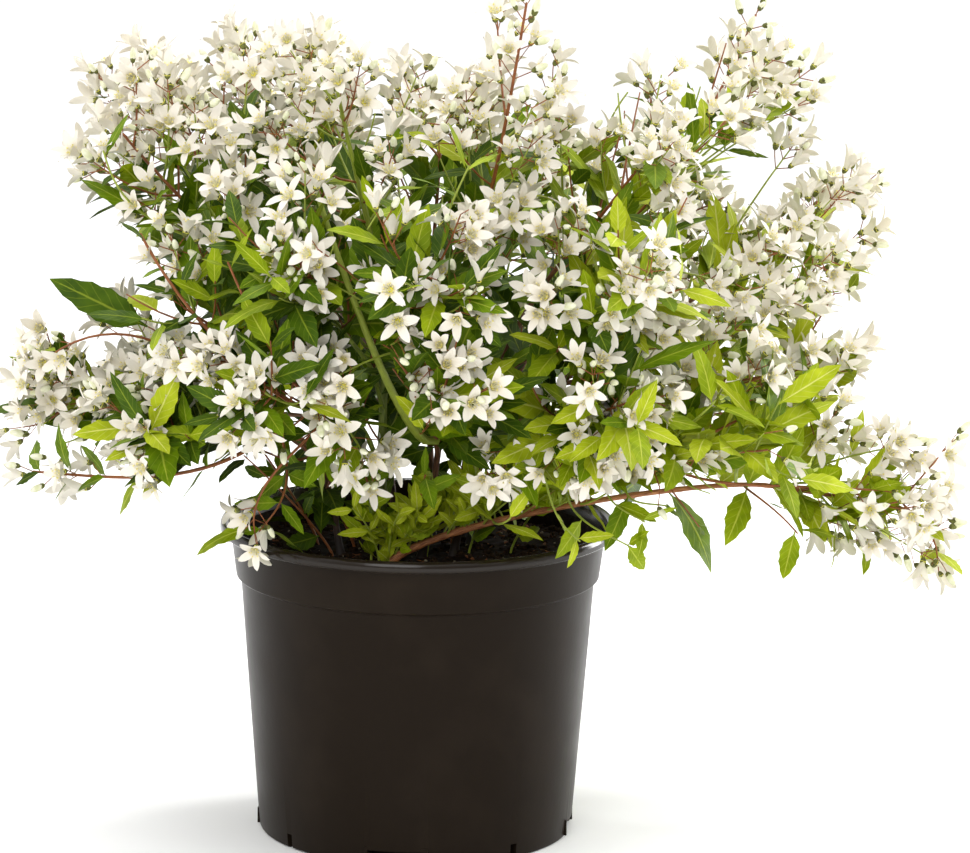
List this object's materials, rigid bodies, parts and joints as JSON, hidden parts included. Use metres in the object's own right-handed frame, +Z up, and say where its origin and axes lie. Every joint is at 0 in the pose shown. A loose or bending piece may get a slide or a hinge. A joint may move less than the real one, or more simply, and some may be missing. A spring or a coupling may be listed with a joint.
{
  "type": "potted deutzia shrub",
  "caption": "Small many-stemmed deutzia shrub in full white flower, arching out over the plain round nursery pot that it stands in.",
  "frame": {"origin": "Centre of the pot's flat underside, which is the mount foot, on the surface that the pot stands on.", "axes": "+Z up along the pot's axis, +X to the right and -Y towards whoever looks at the plant's front."},
  "size_m": [0.4756, 0.4202, 0.4188],
  "materials": {
    "pot_plastic": "satin",
    "compost_mix": "matte",
    "cane_bark": "matte",
    "bough_bark": "satin",
    "leaf_and_petal": "matte"
  },
  "bodies": {
    "root": {"pot": "pot_plastic", "compost": "compost_mix", "stem_01": "cane_bark", "stem_02": "cane_bark", "stem_03": "cane_bark", "stem_04": "cane_bark", "stem_05": "cane_bark", "stem_06": "cane_bark", "stem_07": "cane_bark", "stem_08": "cane_bark", "stem_09": "cane_bark", "stem_10": "cane_bark", "stem_11": "cane_bark", "bough_01": "bough_bark", "bough_02": "bough_bark", "bough_03": "bough_bark", "bough_04": "bough_bark", "bough_05": "bough_bark", "bough_06": "bough_bark", "bough_07": "bough_bark", "bough_08": "bough_bark", "bough_09": "bough_bark", "bough_10": "bough_bark", "bough_11": "bough_bark", "bough_12": "bough_bark", "bough_13": "bough_bark", "bough_14": "bough_bark", "bough_15": "bough_bark", "bough_16": "bough_bark", "bough_17": "bough_bark", "bough_18": "bough_bark", "foliage_01": "leaf_and_petal", "foliage_02": "leaf_and_petal", "foliage_03": "leaf_and_petal", "foliage_04": "leaf_and_petal", "foliage_05": "leaf_and_petal", "foliage_06": "leaf_and_petal", "foliage_07": "leaf_and_petal", "foliage_08": "leaf_and_petal", "foliage_09": "leaf_and_petal", "foliage_10": "leaf_and_petal", "foliage_11": "leaf_and_petal", "foliage_12": "leaf_and_petal", "foliage_13": "leaf_and_petal", "foliage_14": "leaf_and_petal", "foliage_15": "leaf_and_petal", "foliage_16": "leaf_and_petal", "foliage_17": "leaf_and_petal", "foliage_18": "leaf_and_petal", "foliage_19": "leaf_and_petal", "foliage_20": "leaf_and_petal", "foliage_21": "leaf_and_petal", "foliage_22": "leaf_and_petal", "foliage_23": "leaf_and_petal", "foliage_24": "leaf_and_petal", "foliage_25": "leaf_and_petal", "foliage_26": "leaf_and_petal", "foliage_27": "leaf_and_petal", "foliage_28": "leaf_and_petal", "foliage_29": "leaf_and_petal"}
  },
  "joints": []
}
